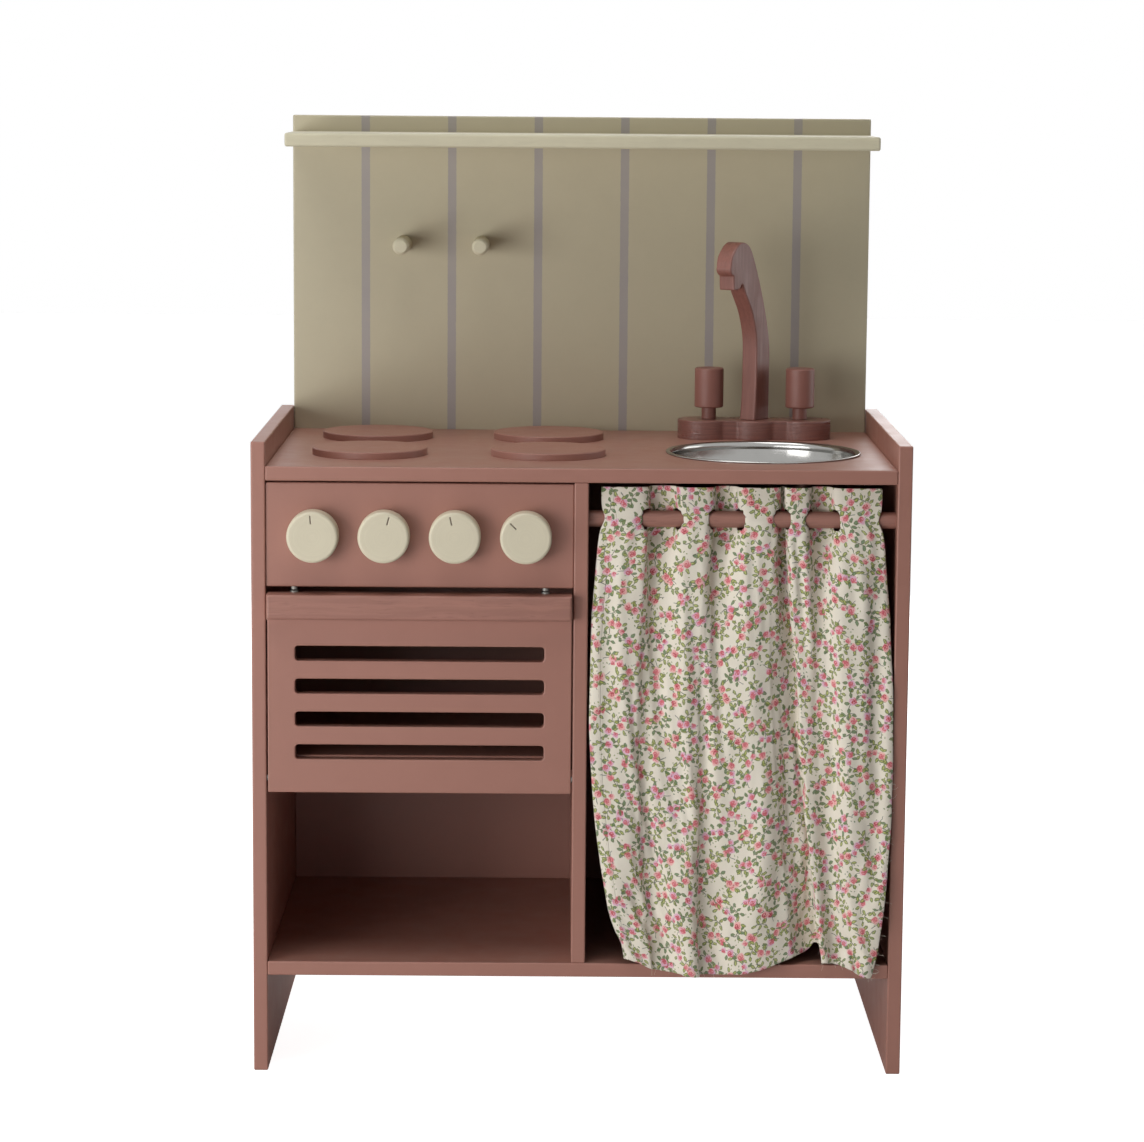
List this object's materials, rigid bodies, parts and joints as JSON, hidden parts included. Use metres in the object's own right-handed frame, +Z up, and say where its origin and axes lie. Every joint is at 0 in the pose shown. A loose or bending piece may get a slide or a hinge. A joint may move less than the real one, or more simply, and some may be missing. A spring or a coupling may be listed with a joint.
{
  "type": "toy kitchen",
  "caption": "Child's free-standing wooden play kitchen: hob, turning knobs, drop-down slotted oven door, lift-out sink, swivel spout, striped splashback with ledge and pegs, floral curtain.",
  "frame": {"origin": "on the floor, under the middle of the whole object's box", "axes": "+Z up, -Y out of the front, +X to the right seen from the front"},
  "size_m": [0.55, 0.337, 0.803],
  "materials": {
    "terracotta_paint": "satin painted board, dusty terracotta",
    "sage_paint": "satin painted board, sage with mauve stripes",
    "pale_sage_paint": "satin painted wood, pale sage",
    "cream_paint": "satin painted wood, cream",
    "polished_steel": "polished stainless steel",
    "steel_screw": "zinc plated steel",
    "bright_magnet": "nickel plated magnet",
    "raw_wood": "bare beech",
    "floral_cotton": "cotton with a small floral print"
  },
  "bodies": {
    "case": {"left_side_panel": "terracotta_paint", "right_side_panel": "terracotta_paint", "worktop": "terracotta_paint", "bottom_shelf": "terracotta_paint", "centre_divider": "terracotta_paint", "control_panel": "terracotta_paint", "oven_floor": "terracotta_paint", "back_panel": "terracotta_paint", "backboard": "sage_paint", "top_ledge": "pale_sage_paint", "peg_left": "pale_sage_paint", "peg_right": "pale_sage_paint", "hob_front_left": "terracotta_paint", "hob_front_right": "terracotta_paint", "hob_rear_left": "terracotta_paint", "hob_rear_right": "terracotta_paint", "faucet_base": "terracotta_paint", "curtain_rod": "terracotta_paint", "curtain_cloth": "floral_cotton", "catch_magnets": "bright_magnet", "carcass_dowels": "raw_wood", "carcass_screws": "steel_screw", "control_panel_screws": "steel_screw", "back_panel_screws": "steel_screw", "backboard_screws": "steel_screw", "ledge_screws": "steel_screw", "hob_screws": "steel_screw", "faucet_screws": "steel_screw"},
    "oven_door": {"oven_door_panel": "terracotta_paint", "door_handle": "terracotta_paint", "door_handle_screws": "steel_screw", "door_pivot_pins": "steel_screw", "door_strikes": "steel_screw"},
    "knob_1_body": {"knob_1": "cream_paint", "knob_bolt_1": "steel_screw", "knob_washer_1": "steel_screw"},
    "knob_2_body": {"knob_2": "cream_paint", "knob_bolt_2": "steel_screw", "knob_washer_2": "steel_screw"},
    "knob_3_body": {"knob_3": "cream_paint", "knob_bolt_3": "steel_screw", "knob_washer_3": "steel_screw"},
    "knob_4_body": {"knob_4": "cream_paint", "knob_bolt_4": "steel_screw", "knob_washer_4": "steel_screw"},
    "tap_left_body": {"tap_left": "terracotta_paint", "tap_bolt_left": "steel_screw"},
    "tap_right_body": {"tap_right": "terracotta_paint", "tap_bolt_right": "steel_screw"},
    "spout_body": {"spout": "terracotta_paint", "spout_bolt": "steel_screw"},
    "sink": {"sink_bowl": "polished_steel"},
    "curtain_edge": {"curtain_leading_hem": "floral_cotton"}
  },
  "joints": [
    {"name": "oven_door_hinge", "type": "hinge", "parent": "case", "child": "oven_door", "pos_m": [-0.1345, -0.1455, 0.253], "axis": [1, 0, 0], "range_deg": [0, 90]},
    {"name": "knob_1_turn", "type": "hinge", "parent": "case", "child": "knob_1_body", "pos_m": [-0.223, -0.1515, 0.4605], "axis": [0, 1, 0], "continuous": true},
    {"name": "knob_2_turn", "type": "hinge", "parent": "case", "child": "knob_2_body", "pos_m": [-0.164, -0.1515, 0.4605], "axis": [0, 1, 0], "continuous": true},
    {"name": "knob_3_turn", "type": "hinge", "parent": "case", "child": "knob_3_body", "pos_m": [-0.105, -0.1515, 0.4605], "axis": [0, 1, 0], "continuous": true},
    {"name": "knob_4_turn", "type": "hinge", "parent": "case", "child": "knob_4_body", "pos_m": [-0.046, -0.1515, 0.4605], "axis": [0, 1, 0], "continuous": true},
    {"name": "tap_left_turn", "type": "hinge", "parent": "case", "child": "tap_left_body", "pos_m": [0.116, 0.1015, 0.54], "axis": [0, 0, 1], "continuous": true},
    {"name": "tap_right_turn", "type": "hinge", "parent": "case", "child": "tap_right_body", "pos_m": [0.198, 0.1015, 0.54], "axis": [0, 0, 1], "continuous": true},
    {"name": "spout_swivel", "type": "hinge", "parent": "case", "child": "spout_body", "pos_m": [0.157, 0.1015, 0.54], "axis": [0, 0, 1], "continuous": true},
    {"name": "sink_lift", "type": "slide", "parent": "case", "child": "sink", "axis": [0, 0, 1], "range_m": [0, 0.06]},
    {"name": "curtain_draw", "type": "slide", "parent": "case", "child": "curtain_edge", "axis": [1, 0, 0], "range_m": [0, 0.17], "deforming": ["curtain_cloth"]}
  ]
}
